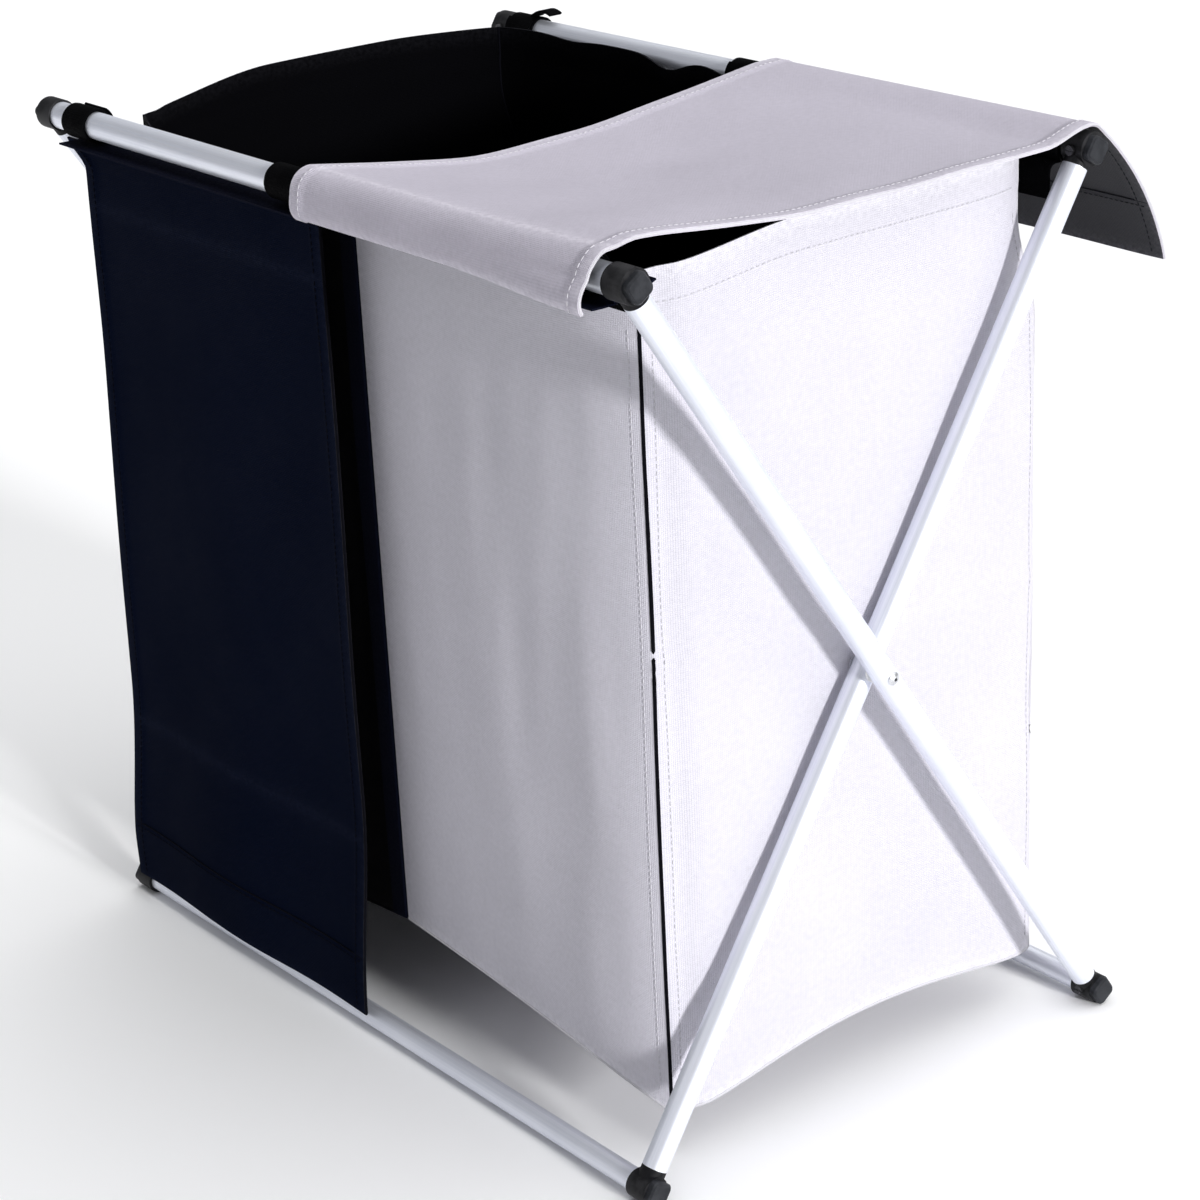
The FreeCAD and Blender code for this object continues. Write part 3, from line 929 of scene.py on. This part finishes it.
def make_lid_piece(name, node, surface, rows, length, cloths, trims, place, tip=False):
    """One stretch of a lid with its piping and stitching; place() puts a piece on its body."""
    width = LID_X[1] - LID_X[0]
    made = cloth(name, surface, lid_columns(), rows, (width, length), cloths, hemmed(length, tip))
    edge = HEM_SIDE / width * 0.82
    outer = CLOTH / 2 + HEM_EXTRA / 2 + THREAD_R * 0.4
    trim = Piece()
    for a in (0.0, 1.0):
        piping(trim, surface, [(a, v) for v in rows], 0)
    ends = (rows[0] + 0.001, rows[-1] - 0.001)
    for a in (edge, 1 - edge):
        line = [(a, v) for v in steps(*ends, max(12, len(rows)))]
        stitches(trim, surface, line, outer, 1, 1)
        stitches(trim, surface, line, outer, 2, -1)
    if tip:
        piping(trim, surface, [(a, 1.0) for a in lid_columns()], 0)
        level = 1 - (HEM_TIP - 2.5 * MM) / length
        line = [(a, level) for a in steps(0.01, 0.99, 90)]
        stitches(trim, surface, line, outer, 1, 1)
        stitches(trim, surface, line, outer, 2, -1)
        # Thin dark cords on both faces along the hem's fold: painted shadow of the fold edge.
        fold = [(a, 1 - (HEM_TIP + 0.8 * MM) / length) for a in steps(0.005, 0.995, 90)]
        for side in (1, -1):
            piping(trim, surface, fold, 2, FOLD_SHADE_LINE_R, side * CLOTH * 0.75)
    trimmed = trim.build(f"{name}_trim", trims)
    for obj in (made, trimmed):
        place(obj)
    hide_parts(node)
    return made, trimmed


def make_right_lid():
    wrap_length = LID_WRAP_R * (LID_SEAM_ANGLE - math.pi / 2) + 6 * MM
    main_length = REAR_RAIL.y - FRONT_RAIL.y + LID_WRAP_R * (math.pi / 2 - LID_MAIN_END_ANGLE)
    end_length = LID_END_RUN + LID_WRAP_R * (LID_MAIN_END_ANGLE - LID_END_ANGLE)

    def wrapping(obj):
        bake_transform(obj)

    def riding(body):
        def place(obj):
            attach(obj, body)
            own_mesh(obj)
        return place

    cloths = [LIGHT_LID, UNDERSIDE]
    # Slot 2, dark thread, serves the underside stitching and the painted shadow lines at the tip's
    # fold.
    trims = [PIPING_LIGHT, THREAD_LIGHT, THREAD_DARK]
    stretches = (
        ("right_lid_wrap", "right_lid_strip", lid_wrap, steps(0, 1, 22), wrap_length, wrapping, False),
        ("right_lid_cover", "right_lid_panel", lid_main,
         steps(0, MAIN_FLAT, 64) + steps(MAIN_FLAT, 1, 6)[1:], main_length,
         riding("right_lid_panel"), False),
        ("right_lid_tip", "right_lid_end", lid_end, rows_with_hem(end_length, 18), end_length,
         riding("right_lid_end"), True),
    )
    for name, node, surface, rows, length, place, tip in stretches:
        made, trim = make_lid_piece(name, node, surface, rows, length, cloths, trims, place, tip)


def make_left_lid():
    bend = FLAP_BEND - 14 * MM
    levels = (
        ("left_lid_wrap", "left_lid_strip", LID_SEAM - 1 * MM, bend, 10, False),
        ("left_lid_cover", "left_lid_panel", bend, FLAP_CREASE, 56, False),
        ("left_lid_tip", "left_lid_end", FLAP_CREASE, FLAP_TIP, 18, True),
    )

    def wrapping(obj):
        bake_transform(obj)

    places = (wrapping, lambda o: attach(o, "left_lid_panel"), lambda o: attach(o, "left_lid_end"))
    for (name, node, top, low_z, count, tip), place in zip(levels, places):
        length = top - low_z

        def surface(a, v, top=top, length=length):
            return flap(a, top - v * length)

        rows = rows_with_hem(length, count) if tip else steps(0, 1, count)
        made, trim = make_lid_piece(name, node, surface, rows, length, [BLACK, NAVY],
                                    [PIPING_DARK, THREAD_DARK, PIPING_DARK], place, tip)


def make_lid_tape():
    """The tape along the bag's front rim, under the rail, that both lids are sewn to."""
    rear = wall(1, 0.5, 1).y
    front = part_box("right_lid_strip")[0].y + 2 * MM
    x0, x1 = FLAP_X[0] + 4 * MM, LID_X[1] - 4 * MM

    def surface(u, v):
        y = mix(rear, front, v)
        dip = 5 * MM * math.sin(math.pi * min(max(v, 0), 1))
        z = mix(BAG_RIM + 1 * MM, LID_SEAM - 0.5 * MM, v) - dip * 0.6
        return Vector((mix(x0, x1, u), y, z))

    made = cloth("lid_tape", surface, steps(0, 1, 60), steps(0, 1, 10), (x1 - x0, rear - front),
                 [BINDING, BINDING])
    fold_with_frame(made)


# ---------------------------------------------------------------- frame nodes, stage and camera

def dress_frame():
    lean = math.atan2(REAR_RAIL.y - FRONT_RAIL.y, REAR_RAIL.z - middle("bottom_front_rail").z)
    kinds = {
        "rail": aluminium("tube_rail", 0.0),
        "inner_leg": aluminium("tube_inner_leg", lean),
        "outer_leg": aluminium("tube_outer_leg", -lean),
        "fitting": moulded("fitting_plastic", (0.004, 0.004, 0.005, 1), 0.5, 900.0),
        "end_caps": moulded("end_cap_plastic", (0.012, 0.013, 0.016, 1), 0.45, 1200.0),
        "screws": steel("screw_zinc", (0.06, 0.06, 0.065, 1)),
        "rivets": steel("rivet_metal", (0.80, 0.81, 0.84, 1)),
        "washers": moulded("washer_nylon", (0.75, 0.75, 0.72, 1), 0.4, 900.0),
    }
    for node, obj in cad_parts.items():
        for key, material in kinds.items():
            if key in node and "panel" not in node:
                obj.data.materials.clear()
                obj.data.materials.append(material)
                break


def make_stage():
    mesh = bpy.data.meshes.new("floor")
    reach = 14.0
    mesh.from_pydata([(-reach, -reach, 0), (reach, -reach, 0), (reach, reach, 0), (-reach, reach, 0)],
                     [], [(0, 1, 2, 3)])
    floor = bpy.data.objects.new("floor", mesh)
    floor.location.z = -0.5 * MM
    mesh.materials.append(floor_paint("floor_paint"))
    bpy.context.scene.collection.objects.link(floor)


def aim(obj, place, target):
    obj.location = place
    obj.rotation_mode = "QUATERNION"
    obj.rotation_quaternion = (Vector(target) - Vector(place)).to_track_quat("-Z", "Y")


def soft_sun(name, energy, angle, direction, colour=(1.0, 1.0, 1.0)):
    """Even light from one direction; a wide angle makes it a soft box of any size."""
    light = bpy.data.lights.new(name, "SUN")
    light.energy = energy
    light.angle = math.radians(angle)
    light.color = colour
    obj = bpy.data.objects.new(name, light)
    bpy.context.scene.collection.objects.link(obj)
    aim(obj, direction, (0, 0, 0))


def make_lights():
    world = bpy.data.worlds.new("studio")
    world.use_nodes = True
    world.node_tree.nodes["Background"].inputs[0].default_value = (0.93, 0.95, 1.0, 1)
    world.node_tree.nodes["Background"].inputs[1].default_value = 0.2
    bpy.context.scene.world = world
    bpy.context.scene.view_settings.view_transform = "Standard"
    soft_sun("key", 3.5, 8, (1.0, 0.0, 0.24))
    soft_sun("top", 2.3, 90, (0.1, 0.45, 1.0))
    soft_sun("fill", 0.3, 60, (-0.4, -1.0, 0.4), (0.96, 0.97, 1.0))


def make_camera():
    azimuth, elevation = math.radians(CAMERA_AZIMUTH), math.radians(CAMERA_ELEVATION)
    roll = math.radians(CAMERA_ROLL)
    back = Vector((math.sin(azimuth) * math.cos(elevation),
                   -math.cos(azimuth) * math.cos(elevation), math.sin(elevation)))
    right = Vector((math.cos(azimuth), math.sin(azimuth), 0))
    up = back.cross(right)
    right_rolled = right * math.cos(roll) + up * math.sin(roll)
    up_rolled = up * math.cos(roll) - right * math.sin(roll)
    data = bpy.data.cameras.new("camera")
    data.sensor_width = 36
    data.lens = CAMERA_LENS
    camera = bpy.data.objects.new("camera", data)
    turn = Matrix((right_rolled, up_rolled, back)).transposed().to_4x4()
    camera.matrix_world = Matrix.Translation(CAMERA_PLACE) @ turn
    bpy.context.scene.collection.objects.link(camera)
    bpy.context.scene.camera = camera


dress_frame()
# The near-black lining inside this light compartment is painted shade.
make_compartment("right", 1, LIGHT_BAG, LINING_AND_PAINTED_SHADE, PIPING_LIGHT, THREAD_LIGHT)
make_compartment("left", -1, BLACK, LINING_AND_PAINTED_SHADE, PIPING_DARK, THREAD_DARK)
make_divider()
make_binding()
make_lid_tape()
for loop_side in ("left", "right"):
    for loop_place in ("outer", "inner"):
        make_loop(f"front_loop_{loop_side}_{loop_place}", -1)
        make_loop(f"rear_loop_{loop_side}_{loop_place}", 1)
make_right_lid()
make_left_lid()
make_stage()
make_lights()
make_camera()
